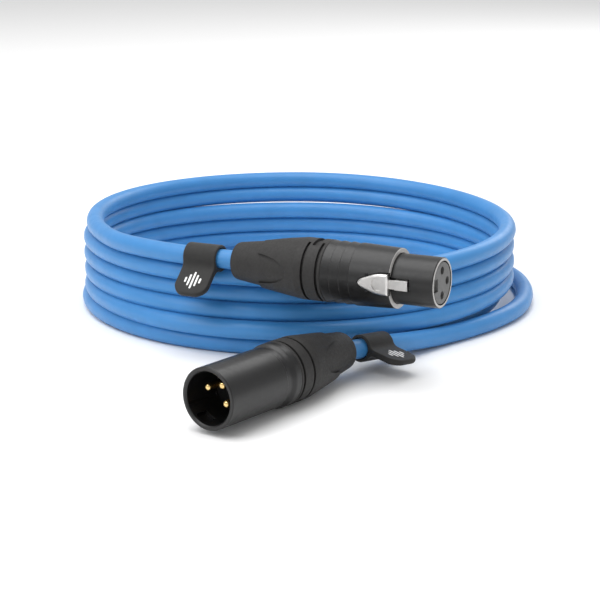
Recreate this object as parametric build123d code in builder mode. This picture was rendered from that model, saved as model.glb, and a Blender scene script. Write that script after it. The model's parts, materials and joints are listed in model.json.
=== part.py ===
from build123d import *
import math
import os

# Microphone cable with a three-pole socket plug at one end and a three-pole pin plug at the other,
# wound into a flat coil. Millimetres, +Z up. The origin is the centre of the coil, on the surface
# that it lies on. The socket plug points to the right and lies on the coil, the pin plug lies on
# the surface in front of it and points to the front left.

os.makedirs("parts", exist_ok=True)

# ---------------------------------------------------------------- driving dimensions
cable_radius = 3.2
running_gap = 0.05  # radial play of a part that turns on or in another
free_gap = 0.3  # room round a part that moves

# where each plug's nose is, which way its nose points in plan, and how far its tail hangs down
socket_nose = (44.1, -112.3, 34.2)
socket_heading = -27.5
socket_pitch = -0.8
pin_nose = (-26.6, -156.0, 11.05)
pin_heading = 233.5
pin_pitch = -1.5  # the pin plug rests on its widest ring

# contacts, as the three-pole circular audio standard has them
contact_pitch_radius = 3.96
pin_radius = 1.2
pin_seat_radius = 1.7
contact_bore = 1.24

# socket plug, lengths from the nose back along the axis
sleeve_radius = 8.0
sleeve_bore = 7.0
housing_front = 14.1
housing_front_radius = 9.6
housing_rear_radius = 10.05
socket_rib_starts = (28.0, 31.4, 34.8)
rib_depth = 0.45
recess_gap = 0.15  # between the sleeve and the housing's front ring
socket_housing_length = 37.6

# pin plug
barrel_radius = 9.5
barrel_bore = 8.05
barrel_length = 26.0
pin_housing_length = 32.2
pin_tip_depth = 3.8
pin_insert_face = 14.0

# rear half, the same on both plugs, lengths back from the housing's rear edge
shell_cavity = 8.05
cavity_depth = 11.0
cavity_wall_front = 13.6
boot_radius = 10.1
boot_length = 35.0
boot_end_radius = 6.1
boot_bore = 3.5
boot_mouth = 4.6  # widened over this length, so that the cable can bend as the boot backs off
boot_mouth_length = 9.0
collar_end = 24.1
collar_step = 0.6
flat_count = 3
groove_places = (1.6, 6.6)
groove_width = 0.9
slot_width = 2.2
groove_depth = 0.9
groove_gap_angle = 36.0
nut_radius = 8.0
nut_bore = 7.2
nut_front = -9.5
nut_rear = 11.0
chuck_radius = 6.9
chuck_front = -4.0
chuck_rear = 9.0
jacket_start = -2.5  # where the cable's jacket is stripped off

# name tag on each end of the cable
tag_width = 12.4
tag_bore = 3.5
tag_radius = 4.5
flap_length = 16.0
flap_thickness = 2.0
flap_offset = 0.4  # of the flap's middle from the collar's axis
flap_corner = 4.2
socket_tag_start = 79.0
socket_flap_angle = -43
pin_flap_angle = -9
pin_tag_far_end = (27.6, -86.9, 6.8)
pin_tag_near_end = (18.7, -96.3, 8.1)

# coil: height of a level and how far the turns there have slid to the front
coil_levels = ((0, 0), (8, 3), (16, 3), (24, 2), (35, 1))
coil_outer = 79.5
coil_inner = 71.0

# routes of the cable where it isn't coiled
socket_route = [
    (12.97, -96.09, 33.71), (-6.5, -85.96, 33.45), (-25.09, -76.29, 33.1), (-41.05, -67.98, 32.9),
    (-55.9, -55.9, 32.6), (-66.0, -43.0, 32.0),
]
pin_route = [
    (-8.94, -132.13, 10.28), (0.5, -119.4, 9.87), (10.2, -106.3, 9.42), (18.7, -96.3, 8.1),
    (27.6, -86.9, 6.8), (38.2, -75.3, 4.6), (49.6, -64.3, 3.2), (67.2, -48.0, 3.2), (80.5, -28.0, 3.2),
    (85.8, -3.0, 3.2), (83.5, 22.0, 3.2), (72.5, 43.0, 3.2), (56.0, 58.5, 3.2), (36.0, 64.0, 3.2),
]


# ---------------------------------------------------------------- planes and axes
def plug_plane(nose, heading, pitch):
    """Plane at a plug's nose: its z runs back along the plug, its x is level, to one side."""
    level = math.radians(heading)
    tilt = math.radians(pitch)
    back = Vector(-math.cos(level) * math.cos(tilt), -math.sin(level) * math.cos(tilt), math.sin(tilt))
    side = Vector(math.sin(level), -math.cos(level), 0)
    return Plane(origin=nose, x_dir=side, z_dir=back)


def outline_plane(place):
    """Plane through a plug's axis: its x is the length from the nose, its y is the radius."""
    return Plane(origin=place.origin, x_dir=place.z_dir, z_dir=place.y_dir)


def spin_axis(place):
    return Axis(place.origin, place.z_dir)


def turned_plane(place, angle):
    """The same plane, turned about its own z."""
    turn = math.radians(angle)
    side = place.x_dir * math.cos(turn) + place.y_dir * math.sin(turn)
    return Plane(place.origin, x_dir=side, z_dir=place.z_dir)


def contact_spot(angle):
    """Centre of a contact, in its plug's plane."""
    turn = math.radians(angle)
    return contact_pitch_radius * math.cos(turn), contact_pitch_radius * math.sin(turn)


def save(part, name):
    part.label = name
    export_step(part, f"parts/{name}.step")


socket_plug = plug_plane(socket_nose, socket_heading, socket_pitch)
pin_plug = plug_plane(pin_nose, pin_heading, pin_pitch)
socket_rear = socket_plug.offset(socket_housing_length)
pin_rear = pin_plug.offset(pin_housing_length)

# ---------------------------------------------------------------- socket plug: housing and latch
latch_tip = 24.6
latch_wide_end = 14.2
latch_half_width = 3.35
latch_under = 8.45
latch_top = 10.45
latch_pivot_radius = 9.25
latch_pivot_length = 21.6
latch_pin_radius = 0.55
latch_pin_half = 2.9
latch_nose_start = 8.1
latch_nose_end = 12.3
latch_nose_half = 1.6
latch_nose_top = 8.9
neck_half = 1.45
pocket_floor = 7.9
slot_start = latch_nose_start - free_gap
slot_end = 16.5


def latch_plane(height):
    """Plane over the socket plug's latch, facing out: its x is the length, its y is across."""
    centre = socket_plug.from_local_coords((height, 0, 0))
    return Plane(origin=centre, x_dir=socket_plug.z_dir, z_dir=socket_plug.x_dir)


def across_plane():
    """Plane at the latch's pivot, facing across the plug."""
    centre = socket_plug.from_local_coords((latch_pivot_radius, 0, latch_pivot_length))
    return Plane(origin=centre, x_dir=socket_plug.x_dir, z_dir=socket_plug.y_dir)


def leaf_points(start, grow):
    """Pointed arch of the latch button, from its wide corner to its tip."""
    half = latch_half_width + grow
    shoulder = (latch_wide_end + 4.2, half * 0.91)
    side = (latch_wide_end + 7.7, half * 0.55)
    return (start, half), shoulder, side, (latch_tip + grow, 0)


with BuildPart() as socket_shell:
    with BuildSketch(outline_plane(socket_plug)):
        with BuildLine():
            recess = housing_front + 1.5
            recess_radius = sleeve_radius + recess_gap
            outline = [(0, sleeve_bore), (0, sleeve_radius - 0.3), (0.3, sleeve_radius)]
            outline += [(recess, sleeve_radius), (recess, recess_radius)]
            outline += [(housing_front, recess_radius), (housing_front, housing_front_radius - 0.2)]
            outline += [(housing_front + 0.2, housing_front_radius)]
            for start in socket_rib_starts:
                outline += [(start - 0.3, housing_rear_radius), (start, housing_rear_radius - rib_depth)]
            outline += [(socket_housing_length, housing_rear_radius)]
            outline += [(socket_housing_length, shell_cavity)]
            outline += [(socket_housing_length - cavity_depth, shell_cavity)]
            outline += [(socket_housing_length - cavity_wall_front, sleeve_bore)]
            Polyline(*outline, close=True)
        make_face()
    revolve(axis=spin_axis(socket_plug))
    # pocket for the latch, open to the front
    with BuildSketch(latch_plane(pocket_floor)):
        with BuildLine():
            wide, shoulder, side, tip = leaf_points(housing_front - 1, free_gap)
            edge = Spline(wide, shoulder, side, tip, tangents=((1, 0), (0.45, -1)))
            mirror(edge, about=Plane.XZ)
            Line(wide, (wide[0], -wide[1]))
        make_face()
    extrude(amount=sleeve_radius, mode=Mode.SUBTRACT)
    # slot in the sleeve that the latch's nose drops into
    with BuildSketch(latch_plane(sleeve_bore - 0.5)):
        with Locations(((slot_start + slot_end) / 2, 0)):
            Rectangle(slot_end - slot_start, 2 * (latch_nose_half + free_gap))
    extrude(amount=2.5, mode=Mode.SUBTRACT)
    # cross hole for the latch's pivot pin
    with BuildSketch(across_plane()):
        Circle(latch_pin_radius)
    extrude(amount=latch_pin_half, both=True, mode=Mode.SUBTRACT)
save(socket_shell.part, "socket_shell")

spring_radius = 1.0
spring_half = 0.8
with BuildPart() as socket_latch:
    with BuildSketch(latch_plane(latch_under)):
        with BuildLine():
            wide, shoulder, side, tip = leaf_points(latch_wide_end, 0)
            edge = Spline(wide, shoulder, side, tip, tangents=((1, 0), (0.45, -1)))
            mirror(edge, about=Plane.XZ)
            Line(wide, (wide[0], -wide[1]))
        make_face()
    extrude(amount=latch_top - latch_under)
    chamfer(faces().sort_by(Axis(socket_plug.origin, socket_plug.x_dir))[-1].edges(), 0.45)
    # thumb dimple
    with BuildSketch(latch_plane(latch_top)):
        with Locations((latch_wide_end + 3.4, 0)):
            Circle(2.0)
    extrude(amount=-0.5, mode=Mode.SUBTRACT)
    # neck, and the nose that catches the other plug
    neck_length = latch_wide_end - latch_nose_end + 1.2
    with BuildSketch(latch_plane(pocket_floor)):
        with Locations((latch_nose_end - 0.2 + neck_length / 2, 0)):
            Rectangle(neck_length + 0.4, 2 * neck_half)
    extrude(amount=0.85)
    with BuildSketch(latch_plane(7.3)):
        with Locations(((latch_nose_start + latch_nose_end) / 2, 0)):
            Rectangle(latch_nose_end - latch_nose_start, 2 * latch_nose_half)
    extrude(amount=latch_nose_top - 7.3)
    # bore for the pivot pin, and room for the spring round it
    with BuildSketch(across_plane()):
        Circle(latch_pin_radius + running_gap)
    extrude(amount=latch_half_width, both=True, mode=Mode.SUBTRACT)
    with BuildSketch(across_plane()):
        Rectangle(2 * latch_pivot_radius - 2 * latch_under, 2.5)
    extrude(amount=spring_half + 0.15, both=True, mode=Mode.SUBTRACT)
    with BuildSketch(latch_plane(latch_under)):
        with Locations((latch_pivot_length - 2.5, 0)):
            Rectangle(4.2, 0.9)
    extrude(amount=0.75, mode=Mode.SUBTRACT)
save(socket_latch.part, "socket_latch")

with BuildPart() as socket_latch_pin:
    with BuildSketch(across_plane()):
        Circle(latch_pin_radius)
    extrude(amount=latch_pin_half, both=True)
save(socket_latch_pin.part, "socket_latch_pin")

# torsion spring: closed turns round the pivot pin, and a leg under the button
with BuildPart() as socket_latch_spring:
    with BuildSketch(across_plane()):
        Circle(spring_radius - 0.25)
        Circle(latch_pin_radius + running_gap, mode=Mode.SUBTRACT)
    extrude(amount=spring_half, both=True)
    with BuildSketch(latch_plane(latch_under + 0.1)):
        with Locations((latch_pivot_length - 2.45, 0)):
            Rectangle(3.7, 0.5)
    extrude(amount=0.4)
save(socket_latch_spring.part, "socket_latch_spring")

# ---------------------------------------------------------------- socket plug: insert and contacts
insert_front = 0.1
insert_face_radius = 6.6
insert_rear = 24.0
socket_angles = (90, 180, 270)
key_half = 2.05
key_floor = 3.4
contact_radius = 1.8
contact_front = 2.3
socket_cup_end = 27.0
socket_mouth = 1.3

with BuildPart() as socket_insert:
    with BuildSketch(outline_plane(socket_plug)):
        with BuildLine():
            outline = [(insert_front, 0), (insert_front, insert_face_radius)]
            outline += [(contact_front, insert_face_radius), (contact_front + 0.3, sleeve_bore)]
            outline += [(insert_rear, sleeve_bore), (insert_rear, 0)]
            Polyline(*outline, close=True)
        make_face()
    revolve(axis=spin_axis(socket_plug))
    for angle in socket_angles:
        with BuildSketch(socket_plug):
            with Locations(contact_spot(angle)):
                Circle(socket_mouth)
        extrude(amount=contact_front, mode=Mode.SUBTRACT)
        with BuildSketch(socket_plug.offset(contact_front)):
            with Locations(contact_spot(angle)):
                Circle(contact_radius)
        extrude(amount=insert_rear, mode=Mode.SUBTRACT)
    # keyway, which the latch's nose drops into as well
    with BuildSketch(latch_plane(key_floor)):
        with Locations((slot_end / 2, 0)):
            Rectangle(slot_end, 2 * key_half)
    extrude(amount=sleeve_bore, mode=Mode.SUBTRACT)
save(socket_insert.part, "socket_insert")

for number, angle in enumerate(socket_angles, start=1):
    contact_centre = socket_plug.from_local_coords((*contact_spot(angle), 0))
    contact_plane = Plane(contact_centre, x_dir=socket_plug.x_dir, z_dir=socket_plug.z_dir)
    with BuildPart() as socket_contact:
        with BuildSketch(outline_plane(contact_plane)):
            with BuildLine():
                bore_end = 13.5
                cup_start = 21.0
                outline = [(contact_front, contact_bore), (contact_front, contact_radius)]
                outline += [(cup_start, contact_radius), (cup_start, 1.5), (socket_cup_end, 1.5)]
                outline += [(socket_cup_end, 1.0), (cup_start + 1.5, 1.0), (cup_start + 1.5, 0)]
                outline += [(bore_end, 0), (bore_end, contact_bore)]
                Polyline(*outline, close=True)
            make_face()
        revolve(axis=spin_axis(contact_plane))
    save(socket_contact.part, f"socket_contact_{number}")

# bent strip in the keyway that earths the shells to each other
with BuildPart() as socket_earth_strip:
    with BuildSketch(latch_plane(key_floor)):
        with Locations((7.5, 0)):
            Rectangle(13, 2 * key_half - 0.3)
    extrude(amount=0.5)
    with BuildSketch(latch_plane(key_floor)):
        with Locations((1.25, 0)):
            Rectangle(0.5, 2 * key_half - 0.3)
    extrude(amount=2.9)
save(socket_earth_strip.part, "socket_earth_strip")

# ---------------------------------------------------------------- pin plug: shell, insert and pins
pin_angles = (29, 119, 209)
catch_angle = 299
groove_angle = 339
earth_angle = 160
pin_insert_rear = 21.0
pin_cup_end = 24.8
earth_half = 1.7
earth_inner = 7.95
earth_outer = 8.45
earth_front = 6.0


def wall_plane(angle, radius):
    """Plane inside the pin plug's barrel, facing out at an angle: its x is the length."""
    outward = turned_plane(pin_plug, angle).x_dir
    return Plane(origin=pin_plug.origin + outward * radius, x_dir=pin_plug.z_dir, z_dir=outward)


with BuildPart() as pin_shell:
    with BuildSketch(outline_plane(pin_plug)):
        with BuildLine():
            outline = [(pin_housing_length, housing_rear_radius), (pin_housing_length, barrel_bore)]
            outline += [(0.4, barrel_bore), (0, barrel_bore + 0.4), (0, barrel_radius - 0.3)]
            outline += [(0.3, barrel_radius), (barrel_length, barrel_radius)]
            outline += [(barrel_length + 0.3, barrel_radius - 0.2)]
            Polyline(*outline)
            waist_start = outline[-1]
            waist = (barrel_length + 2.6, barrel_radius - 0.1)
            flare = (pin_housing_length - 2.0, housing_rear_radius)
            Spline(waist_start, waist, flare, tangents=((1, 0), (1, 0)))
            Line(flare, outline[0])
        make_face()
    revolve(axis=spin_axis(pin_plug))
    # catch for the other plug's latch, a seam groove, and the seat of the earthing strip
    with BuildSketch(wall_plane(catch_angle, barrel_bore - 1)):
        with Locations((3.85, 0)):
            Rectangle(4.7, 2 * (latch_nose_half + free_gap))
    extrude(amount=1.95, mode=Mode.SUBTRACT)
    with BuildSketch(wall_plane(groove_angle, barrel_bore - 1)):
        with Locations((pin_insert_face / 2, 0)):
            Rectangle(pin_insert_face - 1, 1.1)
    extrude(amount=1.4, mode=Mode.SUBTRACT)
    with BuildSketch(wall_plane(earth_angle, barrel_bore - 1)):
        with Locations(((earth_front + pin_insert_face) / 2, 0)):
            Rectangle(pin_insert_face - earth_front + 0.2, 2 * earth_half + 0.1)
    extrude(amount=earth_outer - barrel_bore + 1, mode=Mode.SUBTRACT)
save(pin_shell.part, "pin_shell")

with BuildPart() as pin_earth_strip:
    with BuildSketch(wall_plane(earth_angle, earth_inner)):
        with Locations(((earth_front + pin_insert_face) / 2, 0)):
            Rectangle(pin_insert_face - earth_front, 2 * earth_half)
    extrude(amount=earth_outer - earth_inner)
save(pin_earth_strip.part, "pin_earth_strip")

with BuildPart() as pin_insert:
    with BuildSketch(pin_plug.offset(pin_insert_face)):
        Circle(barrel_bore)
        for angle in pin_angles:
            with Locations(contact_spot(angle)):
                Circle(pin_seat_radius, mode=Mode.SUBTRACT)
    extrude(amount=pin_insert_rear - pin_insert_face)
save(pin_insert.part, "pin_insert")

for number, angle in enumerate(pin_angles, start=1):
    contact_centre = pin_plug.from_local_coords((*contact_spot(angle), 0))
    contact_plane = Plane(contact_centre, x_dir=pin_plug.x_dir, z_dir=pin_plug.z_dir)
    with BuildPart() as pin_contact:
        with BuildSketch(outline_plane(contact_plane)):
            with BuildLine():
                tip_length = 1.0
                shoulder = (pin_tip_depth + tip_length, pin_radius)
                tip_edge = (pin_tip_depth, 0.3)
                Spline(tip_edge, shoulder, tangents=((0.15, 1), (1, 0)))
                outline = [shoulder, (pin_insert_face, pin_radius), (pin_insert_face, pin_seat_radius)]
                outline += [(pin_insert_rear, pin_seat_radius), (pin_insert_rear, 1.5)]
                outline += [(pin_cup_end, 1.5), (pin_cup_end, 1.0), (pin_insert_rear + 1, 1.0)]
                outline += [(pin_insert_rear + 1, 0), (pin_tip_depth, 0), tip_edge]
                Polyline(*outline)
            make_face()
        revolve(axis=spin_axis(contact_plane))
    save(pin_contact.part, f"pin_contact_{number}")


# ---------------------------------------------------------------- rear half of a plug
def make_boot(rear, gap_angle):
    """Rubber boot: a cone with a scalloped collar over it, two part-round grooves and a slot."""
    cone_front = 9.5
    cone_start_radius = boot_radius - collar_step
    slope = (cone_start_radius - boot_end_radius) / (boot_length - cone_front)
    collar_rear_radius = boot_radius - slope * (collar_end - cone_front)
    with BuildPart() as boot:
        with BuildSketch(outline_plane(rear)):
            with BuildLine():
                outline = [(cone_front, boot_radius - 1), (cone_front, boot_radius)]
                outline += [(collar_end, collar_rear_radius), (collar_end, collar_rear_radius - 1)]
                Polyline(*outline, close=True)
            make_face()
        revolve(axis=spin_axis(rear))
        for index in range(flat_count):
            outward = turned_plane(rear, 360 / flat_count * index + gap_angle - 90).x_dir
            with BuildSketch(Plane(origin=rear.origin + outward, x_dir=rear.z_dir, z_dir=outward)):
                with Locations((collar_end + 1, 0)):
                    Ellipse(12.5, 4.9)
            extrude(amount=2 * boot_radius, mode=Mode.SUBTRACT)
        with BuildSketch(outline_plane(rear)):
            with BuildLine():
                bore = nut_radius + running_gap
                end_round = 1.2
                last = (boot_length - end_round, boot_end_radius + slope * end_round)
                outline = [last, (cone_front, cone_start_radius), (cone_front, boot_radius)]
                outline += [(0.4, boot_radius), (0, boot_radius - 0.3), (0, bore)]
                outline += [(nut_rear + free_gap, bore), (nut_rear + 1.5, boot_bore)]
                outline += [(boot_length - boot_mouth_length, boot_bore), (boot_length, boot_mouth)]
                outline += [(boot_length, boot_end_radius - 0.9)]
                Polyline(*outline)
                Spline(outline[-1], last, tangents=((0.1, 1), (-1, slope)))
            make_face()
        revolve(axis=spin_axis(rear))
        # grooves, which stop short of each other, and the slot between their ends
        half_gap = groove_gap_angle / 2
        start_plane = turned_plane(rear, gap_angle + half_gap)
        for place in groove_places:
            with BuildSketch(outline_plane(start_plane)):
                with Locations((place, boot_radius)):
                    Rectangle(groove_width, 2 * groove_depth)
            revolve(axis=spin_axis(rear), revolution_arc=360 - groove_gap_angle, mode=Mode.SUBTRACT)
        slot_plane = turned_plane(rear, gap_angle - 1.5 * half_gap)
        with BuildSketch(outline_plane(slot_plane)):
            with Locations((sum(groove_places) / 2, boot_radius)):
                Rectangle(slot_width, 2 * groove_depth)
        revolve(axis=spin_axis(rear), revolution_arc=1.5 * groove_gap_angle, mode=Mode.SUBTRACT)
    return boot.part


def make_nut(rear):
    """Clamping nut under the boot: it screws into the housing and squeezes the chuck's cone."""
    with BuildPart() as nut:
        with BuildSketch(outline_plane(rear)):
            with BuildLine():
                outline = [(nut_front, nut_bore), (nut_front, nut_radius), (nut_rear, nut_radius)]
                outline += [(nut_rear, 5.0), (chuck_rear - 3.7, nut_bore)]
                Polyline(*outline, close=True)
            make_face()
        revolve(axis=spin_axis(rear))
    return nut.part


def make_chuck(rear):
    """Slotted collet that grips the cable's jacket."""
    with BuildPart() as chuck:
        with BuildSketch(outline_plane(rear)):
            with BuildLine():
                outline = [(chuck_front, cable_radius), (chuck_front, chuck_radius)]
                outline += [(chuck_rear - 4, chuck_radius), (chuck_rear, 5.2), (chuck_rear, cable_radius)]
                Polyline(*outline, close=True)
            make_face()
        revolve(axis=spin_axis(rear))
        with BuildSketch(rear.offset(chuck_rear)):
            Rectangle(3 * chuck_radius, 1.0)
            Rectangle(1.0, 3 * chuck_radius)
        extrude(amount=-10, mode=Mode.SUBTRACT)
    return chuck.part


def make_core(place, angle, cup_end, jacket_end):
    """Insulated core of the cable, from its solder cup to where the jacket ends."""
    turn = math.radians(angle)
    inner = 1.3
    core_radius = 0.8
    end = jacket_end - running_gap
    lengths = (cup_end - 2, cup_end + 0.8, end - 1.2, end)
    radii = (contact_pitch_radius, contact_pitch_radius, inner, inner)
    points = []
    for length, radius in zip(lengths, radii):
        spot = (radius * math.cos(turn), radius * math.sin(turn), length)
        points.append(place.from_local_coords(spot))
    with BuildPart() as core:
        with BuildLine():
            FilletPolyline(*points, radius=0.9)
        with BuildSketch(Plane(origin=points[0], x_dir=place.x_dir, z_dir=place.z_dir)):
            Circle(core_radius)
        sweep()
    return core.part


for plug, place, rear, angles, cup_end, gap_angle in (
    ("socket", socket_plug, socket_rear, socket_angles, socket_cup_end, 90),
    ("pin", pin_plug, pin_rear, pin_angles, pin_cup_end, 255),
):
    save(make_boot(rear, gap_angle), f"{plug}_boot")
    save(make_nut(rear), f"{plug}_clamp_nut")
    save(make_chuck(rear), f"{plug}_chuck")
    rear_length = socket_housing_length if plug == "socket" else pin_housing_length
    for number, angle in enumerate(angles, start=1):
        save(make_core(place, angle, cup_end, rear_length + jacket_start), f"{plug}_core_{number}")


# ---------------------------------------------------------------- cable
def corner_radii(route):
    """Largest arc at each corner of a route that its two runs leave room for."""
    radii = []
    for before, corner, after in zip(route, route[1:], route[2:]):
        arriving = Vector(corner) - Vector(before)
        leaving = Vector(after) - Vector(corner)
        half_turn = math.radians(arriving.get_angle(leaving)) / 2
        radii.append(0.45 * min(arriving.length, leaving.length) / math.tan(half_turn))
    return radii


def make_lead(route):
    """Round cable along straight runs that are joined by arcs."""
    radii = corner_radii(route)
    print("corner radii", [round(radius, 1) for radius in radii])
    first_run = Vector(route[1]) - Vector(route[0])
    with BuildPart() as lead:
        with BuildLine():
            path = FilletPolyline(*route, radius=radii)
        with BuildSketch(Plane(origin=route[0], z_dir=first_run)):
            Circle(cable_radius)
        sweep()
    expected = math.pi * cable_radius**2 * path.length
    print("lead length", round(path.length, 1), "volume over expected", lead.part.volume / expected)
    return lead.part


save(make_lead(socket_route), "cable_socket_lead")
save(make_lead(pin_route), "cable_pin_lead")

# outer shape of the wound turns, with a cradle at the top for the socket plug and its name tag
with BuildPart() as cable_coil:
    for height, slide in coil_levels:
        with BuildSketch(Plane.XY.offset(height)):
            with Locations((0, -slide)):
                Circle(coil_outer)
    loft(ruled=True)
    for height, slide in coil_levels:
        with BuildSketch(Plane.XY.offset(height)):
            with Locations((0, -slide)):
                Circle(coil_inner)
    loft(ruled=True, mode=Mode.SUBTRACT)
    with BuildSketch(socket_plug):
        Circle(boot_radius + 2 * free_gap)
    extrude(amount=socket_tag_start, mode=Mode.SUBTRACT)
    with BuildSketch(socket_plug.offset(socket_tag_start - 2)):
        Circle(flap_length + tag_radius + free_gap)
    extrude(amount=tag_width + 4, mode=Mode.SUBTRACT)
save(cable_coil.part, "cable_coil")


# ---------------------------------------------------------------- name tags
def make_tag(place, flap_angle):
    """Rubber collar round the cable with a flap on one side."""
    flap_plane = turned_plane(place, flap_angle)
    with BuildPart() as tag:
        with BuildSketch(flap_plane):
            Circle(tag_radius)
            with Locations((flap_length / 2, flap_offset)):
                Rectangle(flap_length, flap_thickness)
            Circle(tag_bore, mode=Mode.SUBTRACT)
        extrude(amount=tag_width)
        end_edges = edges().filter_by(Axis(flap_plane.origin, flap_plane.y_dir))
        fillet(end_edges.group_by(Axis(flap_plane.origin, flap_plane.x_dir))[-1], flap_corner)
    return tag.part


pin_tag_reach = Vector(pin_tag_near_end) - Vector(pin_tag_far_end)
pin_tag_side = Vector(-pin_tag_reach.Y, pin_tag_reach.X, 0)
pin_tag_place = Plane(origin=pin_tag_far_end, x_dir=pin_tag_side, z_dir=pin_tag_reach)
save(make_tag(socket_plug.offset(socket_tag_start), socket_flap_angle), "socket_tag")
save(make_tag(pin_tag_place, pin_flap_angle), "pin_tag")
print("pin tag axis", pin_tag_place.z_dir)
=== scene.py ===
import json
import math

import bmesh
import bpy
from mathutils import Matrix, Vector


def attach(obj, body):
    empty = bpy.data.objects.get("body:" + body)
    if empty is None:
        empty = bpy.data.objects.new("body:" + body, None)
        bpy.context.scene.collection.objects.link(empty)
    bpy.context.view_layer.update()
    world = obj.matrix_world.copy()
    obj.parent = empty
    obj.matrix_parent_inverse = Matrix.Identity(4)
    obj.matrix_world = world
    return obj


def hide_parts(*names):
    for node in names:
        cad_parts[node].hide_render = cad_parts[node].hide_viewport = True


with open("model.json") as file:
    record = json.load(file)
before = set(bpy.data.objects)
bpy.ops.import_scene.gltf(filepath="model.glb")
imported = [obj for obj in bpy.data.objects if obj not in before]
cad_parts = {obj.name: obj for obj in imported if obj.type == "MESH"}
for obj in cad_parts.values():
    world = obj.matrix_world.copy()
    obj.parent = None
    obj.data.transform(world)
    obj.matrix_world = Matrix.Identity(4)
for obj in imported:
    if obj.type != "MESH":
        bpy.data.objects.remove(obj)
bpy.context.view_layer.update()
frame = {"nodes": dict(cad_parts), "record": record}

# Microphone cable in a flat coil, with its two plugs and name tags. Metres, in the frame's own axes.

MM = 0.001
mounts = {mount["name"]: mount for mount in frame["record"]["mounts"]}

# ---------------------------------------------------------------- camera
LENS = 97.9
VIEW_DOWN = 15.13  # degrees below level
CAMERA_PLACE = (0, -0.601, 0.1609)

camera_data = bpy.data.cameras.new("camera")
camera_data.lens = LENS
camera_data.sensor_width = 36
camera = bpy.data.objects.new("camera", camera_data)
camera.location = CAMERA_PLACE
camera.rotation_euler = (math.radians(90 - VIEW_DOWN), 0, 0)
bpy.context.scene.collection.objects.link(camera)
bpy.context.scene.camera = camera
bpy.context.scene.view_settings.view_transform = "Standard"


# ---------------------------------------------------------------- cable
CABLE_RADIUS = 3.2
CURVE_STEPS = 6  # between control points, and round a quarter of the cable
POINTS_PER_TURN = 16
FIRST_LOOP_TURN = 0.215
LAST_LOOP_TURN = 5.53

# distance from the middle and height of the wound cable at the front, left, back and right of
# each turn, from the top turn down
COIL_TURNS = (
    (75.0, 34.2), (76.5, 31.6), (72.5, 31.1), (77.7, 28.4),
    (76.0, 26.6), (77.9, 25.8), (71.5, 25.1), (77.4, 22.6),
    (73.6, 20.1), (78.1, 19.9), (67.6, 19.1), (77.5, 16.7),
    (76.2, 14.4), (77.9, 14.0), (68.9, 13.1), (77.3, 11.0),
    (80.0, 9.2), (77.8, 8.4), (68.9, 7.1), (73.5, 6.0),
    (76.5, 3.2), (79.0, 3.2), (73.7, 3.2), (77.0, 3.2),
)

SOCKET_ROUTE = [
    (12.97, -96.09, 33.71), (-6.5, -85.96, 33.45), (-25.09, -76.29, 33.1), (-41.05, -67.98, 32.9),
    (-55.9, -55.9, 32.6), (-66.0, -43.0, 32.0),
]
PIN_ROUTE = [
    (-8.94, -132.13, 10.28), (0.5, -119.4, 9.87), (10.2, -106.3, 9.42), (18.7, -96.3, 8.1),
    (27.6, -86.9, 6.8), (38.2, -75.3, 4.6), (49.6, -64.3, 3.2), (67.2, -48.0, 3.2), (80.5, -28.0, 3.2),
    (85.8, -3.0, 3.2), (83.5, 22.0, 3.2), (72.5, 43.0, 3.2), (56.0, 58.5, 3.2), (36.0, 64.0, 3.2),
]


def coil_point(turn):
    """Control point of the wound cable, that many turns from its front top, clockwise from above."""
    index = int(turn * 4)
    part = turn * 4 - index
    ease = part * part * (3 - 2 * part)
    (near_reach, near_height), (next_reach, next_height) = COIL_TURNS[index:index + 2]
    # a spline of this order runs inside its control points, so they stand out by as much
    outside = 1 / (0.75 + 0.25 * math.cos(math.tau / POINTS_PER_TURN))
    reach = (near_reach + (next_reach - near_reach) * ease) * outside
    height = near_height + (next_height - near_height) * ease
    angle = -math.pi / 2 - turn * math.tau
    return reach * math.cos(angle), reach * math.sin(angle), height


def cable_points():
    steps = round((LAST_LOOP_TURN - FIRST_LOOP_TURN) * POINTS_PER_TURN)
    step = (LAST_LOOP_TURN - FIRST_LOOP_TURN) / steps
    loop = [coil_point(FIRST_LOOP_TURN + index * step) for index in range(steps + 1)]
    return [Vector(point) * MM for point in SOCKET_ROUTE + loop + PIN_ROUTE[::-1]]


def curve_line(name, points, radius):
    """Round cable along the points, as a smooth open spline."""
    data = bpy.data.curves.new(name, "CURVE")
    data.dimensions = "3D"
    spline = data.splines.new("NURBS")
    spline.points.add(len(points) - 1)
    for spot, point in zip(spline.points, points):
        spot.co = (*point, 1)
        spot.radius = radius
    spline.order_u = 3
    spline.use_endpoint_u = True
    spline.resolution_u = CURVE_STEPS
    # the points' own radii carry the thickness, which keeps the curve's box as small as the cable
    data.bevel_depth = 1.0
    data.bevel_resolution = CURVE_STEPS
    data.use_fill_caps = True
    line = bpy.data.objects.new(name, data)
    bpy.context.scene.collection.objects.link(line)
    return line


cable = curve_line("cable", cable_points(), CABLE_RADIUS * MM)
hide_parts("cable_coil", "cable_socket_lead", "cable_pin_lead")
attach(cable, "root")


# ---------------------------------------------------------------- materials
def new_material(name, color, roughness, metallic=0.0, specular=0.5, sheen=0.0):
    """Principled material whose even values sit on the shader's own sockets."""
    material = bpy.data.materials.new(name)
    material.use_nodes = True
    shader = material.node_tree.nodes["Principled BSDF"]
    shader.inputs["Base Color"].default_value = (*color, 1)
    shader.inputs["Roughness"].default_value = roughness
    shader.inputs["Metallic"].default_value = metallic
    shader.inputs["Specular IOR Level"].default_value = specular
    shader.inputs["Sheen Weight"].default_value = sheen
    material.diffuse_color = (*color, 1)
    return material


def add_node(material, kind, **values):
    node = material.node_tree.nodes.new(kind)
    for key, value in values.items():
        if key in node.inputs:
            node.inputs[key].default_value = value
        else:
            setattr(node, key, value)
    return node


def link(material, source, target):
    material.node_tree.links.new(source, target)


def shader_of(material):
    return material.node_tree.nodes["Principled BSDF"]


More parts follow.
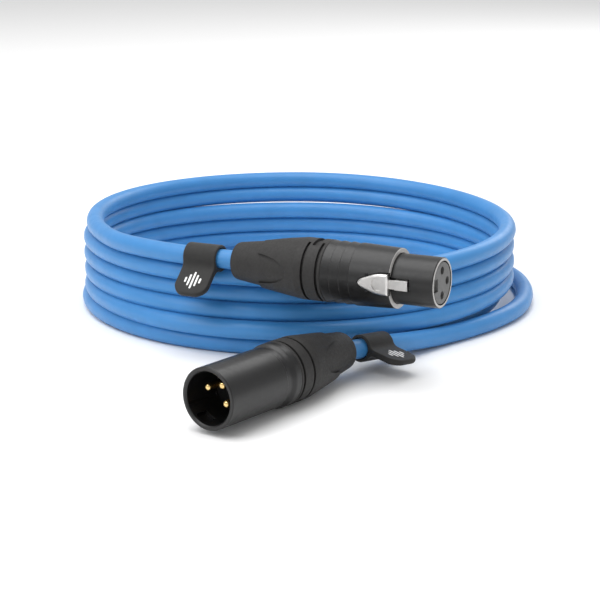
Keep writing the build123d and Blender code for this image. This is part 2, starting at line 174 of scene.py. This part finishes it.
def object_noise(material, size_mm, detail=4.0, stretch=None):
    """Noise of a real size, fixed to the object's own coordinates."""
    coords = add_node(material, "ShaderNodeTexCoord")
    noise = add_node(material, "ShaderNodeTexNoise", Scale=1 / (size_mm * MM), Detail=detail)
    source = coords.outputs["Object"]
    if stretch:
        mapping = add_node(material, "ShaderNodeMapping", Scale=stretch)
        link(material, source, mapping.inputs["Vector"])
        source = mapping.outputs["Vector"]
    link(material, source, noise.inputs["Vector"])
    return noise.outputs["Fac"]


def ramp(material, source, low, high, start=0.3, end=0.7):
    """Two colours or two grey values spread over a noise."""
    node = add_node(material, "ShaderNodeValToRGB")
    node.color_ramp.elements[0].position = start
    node.color_ramp.elements[1].position = end
    node.color_ramp.elements[0].color = (*low, 1) if isinstance(low, tuple) else (low, low, low, 1)
    node.color_ramp.elements[1].color = (*high, 1) if isinstance(high, tuple) else (high, high, high, 1)
    link(material, source, node.inputs["Fac"])
    return node.outputs["Color"]


def scaled(color, factor):
    return tuple(min(channel * factor, 1) for channel in color)


def mottle(material, color, size_mm, amount):
    """Slow change of colour over the surface."""
    noise = object_noise(material, size_mm)
    spread = ramp(material, noise, scaled(color, 1 - amount), scaled(color, 1 + amount))
    link(material, spread, shader_of(material).inputs["Base Color"])


def vary_roughness(material, roughness, size_mm, amount):
    spread = ramp(material, object_noise(material, size_mm), roughness - amount, roughness + amount)
    link(material, spread, shader_of(material).inputs["Roughness"])


def roughen(material, size_mm, depth_mm, stretch=None, edge_mm=0.0):
    """Bump of a real size and depth, over edges softened by a real radius."""
    bump = add_node(material, "ShaderNodeBump", Strength=1.0, Distance=depth_mm * MM)
    link(material, object_noise(material, size_mm, 3.0, stretch), bump.inputs["Height"])
    if edge_mm:
        soft = add_node(material, "ShaderNodeBevel", samples=4, Radius=edge_mm * MM)
        link(material, soft.outputs["Normal"], bump.inputs["Normal"])
    link(material, bump.outputs["Normal"], shader_of(material).inputs["Normal"])


def jacket_material():
    """Satin blue jacket with the faint waviness of drawn plastic."""
    color = (0.042, 0.225, 0.530)
    material = new_material("jacket_blue", color, 0.42, specular=0.45, sheen=0.05)
    mottle(material, color, 9.0, 0.05)
    vary_roughness(material, 0.42, 2.5, 0.05)
    roughen(material, 0.5, 0.012)
    return material


def boot_material():
    """Moulded rubber with a fine pebbled grain."""
    color = (0.017, 0.016, 0.0155)
    material = new_material("boot_rubber", color, 0.62, specular=0.42)
    mottle(material, color, 3.0, 0.15)
    vary_roughness(material, 0.62, 0.8, 0.07)
    roughen(material, 0.22, 0.035, edge_mm=0.25)
    return material


def tag_material():
    """Smooth matte silicone."""
    color = (0.016, 0.0155, 0.015)
    material = new_material("tag_silicone", color, 0.66, specular=0.35, sheen=0.1)
    mottle(material, color, 4.0, 0.08)
    vary_roughness(material, 0.66, 1.5, 0.04)
    roughen(material, 0.3, 0.008)
    return material


FRONT_FACING = 0.6  # cosine of the widest angle from the plug's axis that still counts as front
BARE_CASTING = (0.42, 0.41, 0.40)


def front_face_mask(material, nose, lengths):
    """1 on faces that look the way the plug points, at some lengths back from its nose, 0 elsewhere."""
    place, forward = nose
    geometry = add_node(material, "ShaderNodeNewGeometry")
    facing = add_node(material, "ShaderNodeVectorMath", operation="DOT_PRODUCT")
    link(material, geometry.outputs["True Normal"], facing.inputs[0])
    facing.inputs[1].default_value = forward
    front = add_node(material, "ShaderNodeMath", operation="GREATER_THAN")
    link(material, facing.outputs["Value"], front.inputs[0])
    front.inputs[1].default_value = FRONT_FACING
    coords = add_node(material, "ShaderNodeTexCoord")
    along = add_node(material, "ShaderNodeVectorMath", operation="DOT_PRODUCT")
    link(material, coords.outputs["Object"], along.inputs[0])
    along.inputs[1].default_value = forward
    total = None
    for start, end in lengths:
        middle = place.dot(forward) - (start + end) / 2 * MM
        near = add_node(material, "ShaderNodeMath", operation="COMPARE")
        link(material, along.outputs["Value"], near.inputs[0])
        near.inputs[1].default_value = middle
        near.inputs[2].default_value = (end - start) / 2 * MM
        if total is None:
            total = near.outputs[0]
        else:
            both = add_node(material, "ShaderNodeMath", operation="MAXIMUM")
            link(material, total, both.inputs[0])
            link(material, near.outputs[0], both.inputs[1])
            total = both.outputs[0]
    masked = add_node(material, "ShaderNodeMath", operation="MULTIPLY")
    link(material, total, masked.inputs[0])
    link(material, front.outputs[0], masked.inputs[1])
    return masked.outputs[0]


def shell_material(name, nose=None, lengths=()):
    """Satin black finish over a casting, with its end faces turned bare where the plug's shape says."""
    color = (0.005, 0.005, 0.0054)
    material = new_material(name, color, 0.34, specular=0.5)
    black = ramp(material, object_noise(material, 2.0), scaled(color, 0.85), scaled(color, 1.2))
    if nose:
        bare = add_node(material, "ShaderNodeMix", data_type="RGBA")
        link(material, front_face_mask(material, nose, lengths), bare.inputs["Factor"])
        link(material, black, bare.inputs["A"])
        bare.inputs["B"].default_value = (*BARE_CASTING, 1)
        black = bare.outputs["Result"]
    link(material, black, shader_of(material).inputs["Base Color"])
    vary_roughness(material, 0.36, 1.2, 0.05)
    roughen(material, 0.12, 0.006, edge_mm=0.15)
    return material


def metal_material(name, color, roughness, stretch=(1, 1, 1), grain_mm=0.3, edge_mm=0.12):
    """Bare metal with a brushed grain."""
    material = new_material(name, color, roughness, metallic=1.0)
    mottle(material, color, 1.5, 0.06)
    vary_roughness(material, roughness, 0.6, 0.05)
    roughen(material, grain_mm, 0.004, stretch, edge_mm)
    return material


def plastic_material(name, color, roughness):
    material = new_material(name, color, roughness, specular=0.4)
    mottle(material, color, 2.0, 0.1)
    vary_roughness(material, roughness, 0.7, 0.05)
    roughen(material, 0.2, 0.008, edge_mm=0.08)
    return material


def plug_nose(name):
    mount = mounts[name]
    return Vector(mount["pos_m"]), Vector(mount["axis"])


# lengths back from the socket plug's nose, between which its end faces are bare metal
SLEEVE_END = (-0.1, 0.05)
HOUSING_FACE = (13.9, 14.25)
BARE_FACES = [SLEEVE_END, HOUSING_FACE]
socket_shell_look = shell_material("socket_shell_black", plug_nose("socket_sleeve"), BARE_FACES)
looks = {
    "cable_jacket": jacket_material(),
    "boot_rubber": boot_material(),
    "tag_rubber": tag_material(),
    "shell_black": shell_material("pin_shell_black"),
    "latch_metal": metal_material("latch_satin", (0.62, 0.61, 0.60), 0.34),
    "bare_metal": metal_material("bare_steel", (0.55, 0.54, 0.53), 0.38),
    "insert_grey": plastic_material("insert_grey", (0.105, 0.105, 0.105), 0.5),
    "insert_black": plastic_material("insert_black", (0.010, 0.010, 0.011), 0.5),
    "gold_contact": metal_material("gold_plate", (0.83, 0.60, 0.26), 0.22, grain_mm=0.15, edge_mm=0.0),
    "clamp_plastic": plastic_material("clamp_nylon", (0.03, 0.03, 0.03), 0.5),
    "core_insulation": plastic_material("core_white", (0.62, 0.62, 0.60), 0.45),
}
core_red = plastic_material("core_red", (0.45, 0.02, 0.015), 0.45)
core_shield = metal_material("core_shield", (0.66, 0.42, 0.28), 0.4)
blackened_steel = metal_material("blackened_steel", (0.03, 0.03, 0.032), 0.45)
slot_of = {part["node"]: part["material_slot"] for part in frame["record"]["subparts"]}
for name, node in frame["nodes"].items():
    node.data.materials.clear()
    node.data.materials.append(looks[slot_of[name]])
frame["nodes"]["socket_shell"].data.materials[0] = socket_shell_look
frame["nodes"]["socket_latch_pin"].data.materials[0] = blackened_steel
for plug in ("socket", "pin"):
    frame["nodes"][f"{plug}_core_2"].data.materials[0] = core_red
    frame["nodes"][f"{plug}_core_3"].data.materials[0] = core_shield
cable.data.materials.append(looks["cable_jacket"])
mark_look = plastic_material("mark_white", (0.86, 0.86, 0.86), 0.5)

# ---------------------------------------------------------------- name tags
TAG_WIDTH = 12.4
TAG_BORE = 3.5
TAG_RADIUS = 4.5
FLAP_LENGTH = 16.0
FLAP_OFFSET = 0.4
FLAP_THICKNESS = 2.0
FLAP_CORNER = 4.2
FLAP_BEND = 3.0
EDGE_ROUND = 0.45


def arc(centre, radius, start, end, count):
    """Points on an arc, angles in degrees."""
    spread = [math.radians(start + (end - start) * index / count) for index in range(count + 1)]
    return [(centre[0] + radius * math.cos(a), centre[1] + radius * math.sin(a)) for a in spread]


def tag_profile():
    """Outline of the tag across the cable: a collar, and a flap that bends out of it to +x."""
    half = FLAP_THICKNESS / 2
    reach = TAG_RADIUS + FLAP_BEND
    upper, lower = FLAP_OFFSET + half, FLAP_OFFSET - half
    upper_x = math.sqrt(reach**2 - (upper + FLAP_BEND) ** 2)
    lower_x = math.sqrt(reach**2 - (FLAP_BEND - lower) ** 2)
    upper_angle = math.degrees(math.atan2(upper + FLAP_BEND, upper_x))
    lower_angle = math.degrees(math.atan2(lower - FLAP_BEND, lower_x))
    tip = FLAP_LENGTH - half
    outline = [(tip - (tip - upper_x) * index / 8, upper) for index in range(8)]
    outline += arc((upper_x, upper + FLAP_BEND), FLAP_BEND, -90, upper_angle - 180, 8)
    outline += arc((0, 0), TAG_RADIUS, upper_angle, 360 + lower_angle, 40)[1:]
    outline += arc((lower_x, lower - FLAP_BEND), FLAP_BEND, 180 + lower_angle, 90, 8)[1:]
    outline += [(lower_x + (tip - lower_x) * index / 8, lower) for index in range(1, 8)]
    outline += arc((tip, FLAP_OFFSET), half, -90, 90, 8)[:-1]
    return outline, max(upper_x, lower_x)


def inset_outline(outline, amount):
    """The closed outline, moved inwards."""
    moved = []
    for index, (x, y) in enumerate(outline):
        before, after = outline[index - 1], outline[(index + 1) % len(outline)]
        along = Vector((after[0] - before[0], after[1] - before[1])).normalized()
        moved.append((x - along.y * amount, y + along.x * amount))
    return moved


def tag_slices():
    """Places across the tag's width, with how much its edge is rounded off and its flap shortened."""
    near = [0, 0.06, 0.16, 0.3, EDGE_ROUND, 0.8, 1.3, 1.9, 2.6, 3.4, FLAP_CORNER]
    slices = near + [TAG_WIDTH / 2] + [TAG_WIDTH - place for place in reversed(near)]
    for place in slices:
        from_edge = min(place, TAG_WIDTH - place)
        round_part = max(EDGE_ROUND - from_edge, 0)
        inset = EDGE_ROUND - math.sqrt(EDGE_ROUND**2 - round_part**2)
        corner_part = max(FLAP_CORNER - from_edge, 0)
        shorter = FLAP_CORNER - math.sqrt(FLAP_CORNER**2 - corner_part**2)
        yield place, inset, shorter


def add_ring(mesh, points, place):
    return [mesh.verts.new((x * MM, y * MM, place * MM)) for x, y in points]


def join_rings(mesh, rings):
    for first, second in zip(rings, rings[1:]):
        for index in range(len(first)):
            after = (index + 1) % len(first)
            mesh.faces.new((first[index], first[after], second[after], second[index]))


def finish_mesh(mesh, name, place, sharp_angle=35):
    """Object from a mesh that was built in the given place's own directions."""
    bmesh.ops.recalc_face_normals(mesh, faces=mesh.faces)
    mesh.transform(place)
    data = bpy.data.meshes.new(name)
    mesh.to_mesh(data)
    mesh.free()
    data.shade_smooth()
    data.set_sharp_from_angle(angle=math.radians(sharp_angle))
    piece = bpy.data.objects.new(name, data)
    bpy.context.scene.collection.objects.link(piece)
    return piece


def place_from(origin, x_way, z_way):
    """Matrix that puts x and z along the given ways."""
    z_way = z_way.normalized()
    y_way = z_way.cross(x_way).normalized()
    x_way = y_way.cross(z_way)
    return Matrix.Translation(origin) @ Matrix((x_way, y_way, z_way)).transposed().to_4x4()


def make_tag(name, place):
    outline, flap_start = tag_profile()
    mesh = bmesh.new()
    outer, inner = [], []
    for width_place, inset, shorter in tag_slices():
        full = FLAP_LENGTH - flap_start
        keep = (full - shorter) / full
        shaped = [(x if x < flap_start else flap_start + (x - flap_start) * keep, y) for x, y in outline]
        outer.append(add_ring(mesh, inset_outline(shaped, inset), width_place))
        inner.append(add_ring(mesh, arc((0, 0), TAG_BORE + inset, 0, 360, 48)[:-1], width_place))
    join_rings(mesh, outer)
    join_rings(mesh, inner)
    for side in (0, -1):
        edges = set()
        for ring in (outer[side], inner[side]):
            for index, vert in enumerate(ring):
                edges.add(mesh.edges.get((vert, ring[index - 1])))
        bmesh.ops.triangle_fill(mesh, use_beauty=True, edges=list(edges))
    tag = finish_mesh(mesh, name, place)
    tag.data.materials.append(looks["tag_rubber"])
    return tag


BAR_HEIGHTS = (2.0, 4.4, 6.5, 4.4, 2.0)
BAR_WIDTH = 0.7
BAR_STEP = 1.35
MARK_MIDDLE = 10.4
MARK_RAISED = 0.06


def make_mark(name, place):
    """Printed mark of five rounded bars, like a sound level, on the flap's upper side."""
    mesh = bmesh.new()
    top = FLAP_OFFSET + FLAP_THICKNESS / 2
    half = BAR_WIDTH / 2
    for number, height in enumerate(BAR_HEIGHTS):
        middle = TAG_WIDTH / 2 + (number - (len(BAR_HEIGHTS) - 1) / 2) * BAR_STEP
        straight = height / 2 - half
        outline = arc((straight, 0), half, -90, 90, 8) + arc((-straight, 0), half, 90, 270, 8)
        rings = []
        for level, shrink in ((-MARK_RAISED, 0), (MARK_RAISED * 0.7, 0), (MARK_RAISED, 0.04)):
            keep = 1 - shrink
            spots = [(MARK_MIDDLE + x * keep, top + level, middle + y * keep) for x, y in outline]
            rings.append([mesh.verts.new(Vector(spot) * MM) for spot in spots])
        join_rings(mesh, rings)
        mesh.faces.new(rings[-1])
        mesh.faces.new(rings[0][::-1])
    mark = finish_mesh(mesh, name, place)
    mark.data.materials.append(mark_look)
    return mark


# places of the tags on the cable, as the part has them
SOCKET_TAG_START = 79.0
SOCKET_FLAP_TURN = -43
PIN_FLAP_TURN = -9
PIN_TAG_FAR_END = (27.6, -86.9, 6.8)
PIN_TAG_NEAR_END = (18.7, -96.3, 8.1)

nose, forward = plug_nose("socket_sleeve")
socket_side = Vector((forward.y, -forward.x, 0))
socket_tag_place = place_from(nose - forward * SOCKET_TAG_START * MM, socket_side, -forward)
far_end, near_end = Vector(PIN_TAG_FAR_END) * MM, Vector(PIN_TAG_NEAR_END) * MM
reach = near_end - far_end
pin_tag_place = place_from(far_end, Vector((-reach.y, reach.x, 0)), reach)

for plug, place, turn in (
    ("socket", socket_tag_place, SOCKET_FLAP_TURN),
    ("pin", pin_tag_place, PIN_FLAP_TURN),
):
    turned = place @ Matrix.Rotation(math.radians(turn), 4, "Z")
    tag = make_tag(f"{plug}_tag_strap", turned)
    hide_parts(f"{plug}_tag")
    mark = make_mark(f"{plug}_tag_mark", turned)
    for piece in (tag, mark):
        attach(piece, f"{plug}_tag")

# ---------------------------------------------------------------- stage and light
FLOOR_HALF = 4.0
WORLD_STRENGTH = 0.62
floor_mesh = bpy.data.meshes.new("floor")
corners = [(-FLOOR_HALF, -FLOOR_HALF, 0), (FLOOR_HALF, -FLOOR_HALF, 0)]
corners += [(FLOOR_HALF, FLOOR_HALF, 0), (-FLOOR_HALF, FLOOR_HALF, 0)]
floor_mesh.from_pydata(corners, [], [(0, 1, 2, 3)])
floor = bpy.data.objects.new("floor", floor_mesh)
bpy.context.scene.collection.objects.link(floor)
floor.data.materials.append(new_material("floor_white", (0.93, 0.93, 0.93), 0.9, specular=0.1))

world = bpy.data.worlds.new("studio")
world.use_nodes = True
world.node_tree.nodes["Background"].inputs["Color"].default_value = (1, 1, 1, 1)
world.node_tree.nodes["Background"].inputs["Strength"].default_value = WORLD_STRENGTH
bpy.context.scene.world = world


def soft_box(name, place, target, size, power):
    """Square soft light that faces the target."""
    data = bpy.data.lights.new(name, "AREA")
    data.shape = "SQUARE"
    data.size = size
    data.energy = power
    light = bpy.data.objects.new(name, data)
    light.location = place
    light.rotation_euler = (Vector(target) - Vector(place)).to_track_quat("-Z", "Y").to_euler()
    bpy.context.scene.collection.objects.link(light)


soft_box("top_light", (-0.15, -0.05, 0.95), (0, 0, 0), 1.0, 9)
soft_box("left_light", (-0.8, -0.5, 0.6), (0, -0.05, 0.02), 0.5, 2.5)
soft_box("back_light", (0.5, 0.8, 0.6), (0, 0, 0.02), 0.5, 2.5)
